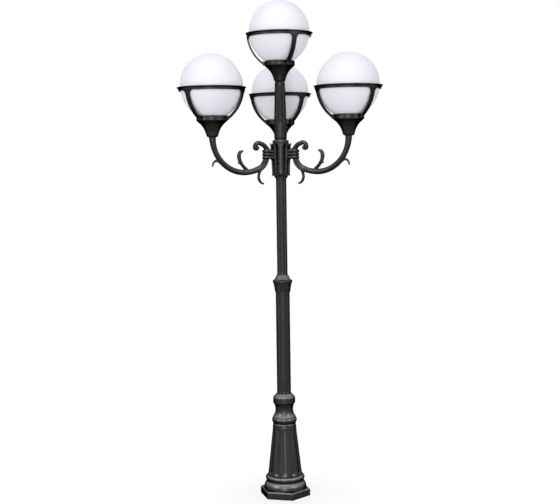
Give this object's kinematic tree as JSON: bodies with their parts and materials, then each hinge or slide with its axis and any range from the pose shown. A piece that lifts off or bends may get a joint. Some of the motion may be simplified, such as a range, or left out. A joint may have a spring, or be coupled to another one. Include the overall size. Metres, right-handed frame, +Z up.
{
  "type": "street lamp",
  "caption": "Street lamp with a fluted post on a hexagonal plinth, scroll arms on a hub, and opal globes that sit in ring-and-rib cages on fitter cups.",
  "frame": {"origin": "on the post's axis at ground level, the centre of the anchor circle", "axes": "+Z up along the post; +Y towards the rear arm; +X to the right seen from the front"},
  "size_m": [0.9795, 0.8925, 2.463],
  "materials": {
    "black_paint": "satin black paint on cast metal",
    "opal_plastic": "opal white",
    "steel": "zinc plated",
    "gasket_rubber": "matte",
    "holder_plastic": "glazed off-white",
    "terminal_plastic": "moulded",
    "cap_brass": "plain",
    "bulb_glass": "frosted",
    "cable_sheath": "matte"
  },
  "bodies": {
    "post": {"foot": "black_paint", "pedestal": "black_paint", "neck": "black_paint", "lower_pole": "black_paint", "pole_collar": "black_paint", "upper_pole": "black_paint", "hub": "black_paint", "crown": "black_paint", "stem": "black_paint", "arm_rear": "black_paint", "arm_left": "black_paint", "arm_right": "black_paint", "base_screws": "steel", "arm_nuts": "steel", "section_screws": "steel", "cage_screws": "steel", "nipples": "steel", "cup_nuts": "steel", "supply_terminal": "terminal_plastic", "junction_block": "terminal_plastic", "riser_cable": "cable_sheath", "cup_top": "black_paint", "cage_top": "black_paint", "gasket_top": "gasket_rubber", "lampholder_top": "holder_plastic", "lead_top": "cable_sheath", "cup_rear": "black_paint", "cage_rear": "black_paint", "gasket_rear": "gasket_rubber", "lampholder_rear": "holder_plastic", "lead_rear": "cable_sheath", "cup_left": "black_paint", "cage_left": "black_paint", "gasket_left": "gasket_rubber", "lampholder_left": "holder_plastic", "lead_left": "cable_sheath", "cup_right": "black_paint", "cage_right": "black_paint", "gasket_right": "gasket_rubber", "lampholder_right": "holder_plastic", "lead_right": "cable_sheath"},
    "globe_top": {"globe_top": "opal_plastic"},
    "lamp_top": {"bulb_cap_top": "cap_brass", "bulb_glass_top": "bulb_glass"},
    "globe_rear": {"globe_rear": "opal_plastic"},
    "lamp_rear": {"bulb_cap_rear": "cap_brass", "bulb_glass_rear": "bulb_glass"},
    "globe_left": {"globe_left": "opal_plastic"},
    "lamp_left": {"bulb_cap_left": "cap_brass", "bulb_glass_left": "bulb_glass"},
    "globe_right": {"globe_right": "opal_plastic"},
    "lamp_right": {"bulb_cap_right": "cap_brass", "bulb_glass_right": "bulb_glass"}
  },
  "joints": [
    {"name": "globe_lift_top", "type": "slide", "parent": "post", "child": "globe_top", "axis": [0, 0, 1], "range_m": [0, 0.18]},
    {"name": "lamp_turn_top", "type": "hinge", "parent": "post", "child": "lamp_top", "pos_m": [0, 0, 2.136], "axis": [0, 0, 1], "range_deg": [0, 1080]},
    {"name": "globe_lift_rear", "type": "slide", "parent": "post", "child": "globe_rear", "axis": [0, 0, 1], "range_m": [0, 0.18]},
    {"name": "lamp_turn_rear", "type": "hinge", "parent": "post", "child": "lamp_rear", "pos_m": [0, 0.375, 1.86445], "axis": [0, 0, 1], "range_deg": [0, 1080]},
    {"name": "globe_lift_left", "type": "slide", "parent": "post", "child": "globe_left", "axis": [0, 0, 1], "range_m": [0, 0.18]},
    {"name": "lamp_turn_left", "type": "hinge", "parent": "post", "child": "lamp_left", "pos_m": [-0.32476, -0.1875, 1.86445], "axis": [0, 0, 1], "range_deg": [0, 1080]},
    {"name": "globe_lift_right", "type": "slide", "parent": "post", "child": "globe_right", "axis": [0, 0, 1], "range_m": [0, 0.18]},
    {"name": "lamp_turn_right", "type": "hinge", "parent": "post", "child": "lamp_right", "pos_m": [0.32476, -0.1875, 1.86445], "axis": [0, 0, 1], "range_deg": [0, 1080]}
  ]
}
